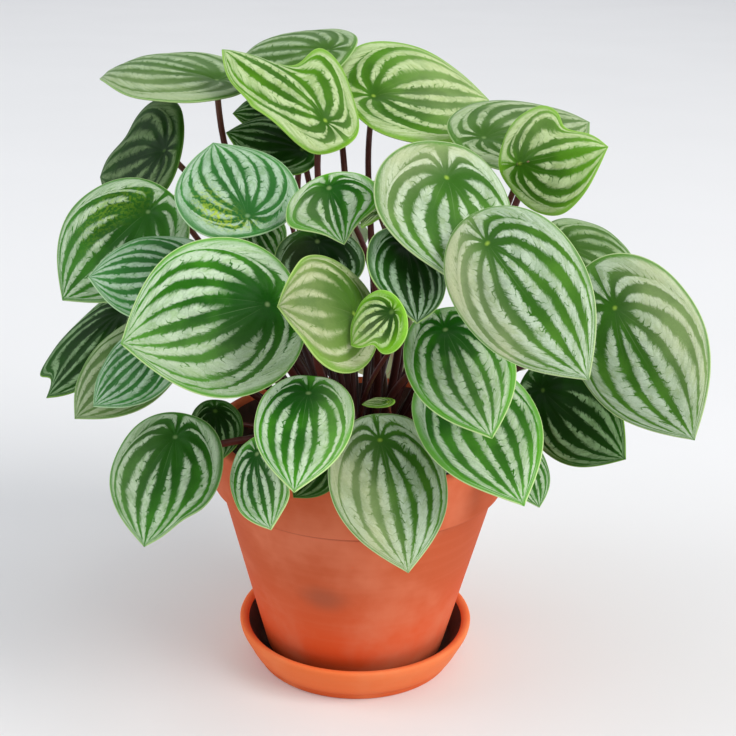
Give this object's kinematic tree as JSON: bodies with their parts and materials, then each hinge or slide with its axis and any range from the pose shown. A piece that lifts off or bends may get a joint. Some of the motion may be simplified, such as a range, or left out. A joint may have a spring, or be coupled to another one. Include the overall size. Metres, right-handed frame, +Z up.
{
  "type": "potted peperomia",
  "caption": "Potted peperomia: striped, shield-shaped leaves on red stalks in a mound over a terracotta pot, which stands in its saucer.",
  "frame": {"origin": "the middle of the saucer's underside, on the surface that it stands on", "axes": "+Z up, the axis of the pot; -Y is the front that the picture shows, +X is to the right of it"},
  "size_m": [0.3048, 0.3108, 0.3133],
  "materials": {
    "pot_clay": "matte",
    "saucer_clay": "matte",
    "soil": "matte",
    "crown": "satin",
    "leaf": "satin",
    "young_leaf": "satin"
  },
  "bodies": {
    "root": {"saucer": "saucer_clay", "terracotta_pot": "pot_clay", "potting_soil": "soil", "crown": "crown", "leaf_top_left": "leaf", "leaf_top_back": "leaf", "leaf_top_wavy": "young_leaf", "leaf_top_right": "young_leaf", "leaf_top_under": "leaf", "leaf_top_left_under": "leaf", "leaf_top_right_under": "leaf", "leaf_right_shoulder": "leaf", "leaf_right_crest": "young_leaf", "leaf_upper_right": "leaf", "leaf_right_big": "leaf", "leaf_right_back": "leaf", "leaf_far_right": "leaf", "leaf_low_right_dark": "leaf", "leaf_low_right_tip": "leaf", "leaf_low_right": "leaf", "leaf_upper_star": "leaf", "leaf_upper_inner": "leaf", "leaf_middle_dark": "leaf", "leaf_middle_round": "young_leaf", "leaf_middle_young": "young_leaf", "leaf_middle_right": "leaf", "leaf_low_middle": "leaf", "leaf_low_front": "leaf", "leaf_low_front_under": "leaf", "leaf_new_upper": "young_leaf", "leaf_new_low": "young_leaf", "leaf_left_shade": "leaf", "leaf_upper_left": "leaf", "leaf_upper_left_under": "leaf", "leaf_left_upper": "leaf", "leaf_left_middle": "leaf", "leaf_left_big": "leaf", "leaf_left_low_dark": "leaf", "leaf_left_low_back": "leaf", "leaf_left_low_front": "leaf", "leaf_low_left_inner": "leaf", "leaf_low_left": "leaf", "leaf_low_curled": "leaf", "leaf_back_crest_left": "leaf", "leaf_back_crest_right": "leaf", "leaf_back_shoulder_left": "leaf", "leaf_back_shoulder_right": "leaf", "leaf_back_upper_right": "leaf", "leaf_back_upper": "leaf", "leaf_back_upper_left": "leaf", "leaf_back_right": "leaf", "leaf_back_middle_right": "leaf", "leaf_back_middle_left": "leaf", "leaf_back_left": "leaf", "leaf_back_low_right": "leaf", "leaf_back_low_middle_right": "leaf", "leaf_back_low": "leaf", "leaf_back_low_middle_left": "leaf", "leaf_back_low_under": "leaf", "leaf_back_low_left": "leaf"}
  },
  "joints": []
}
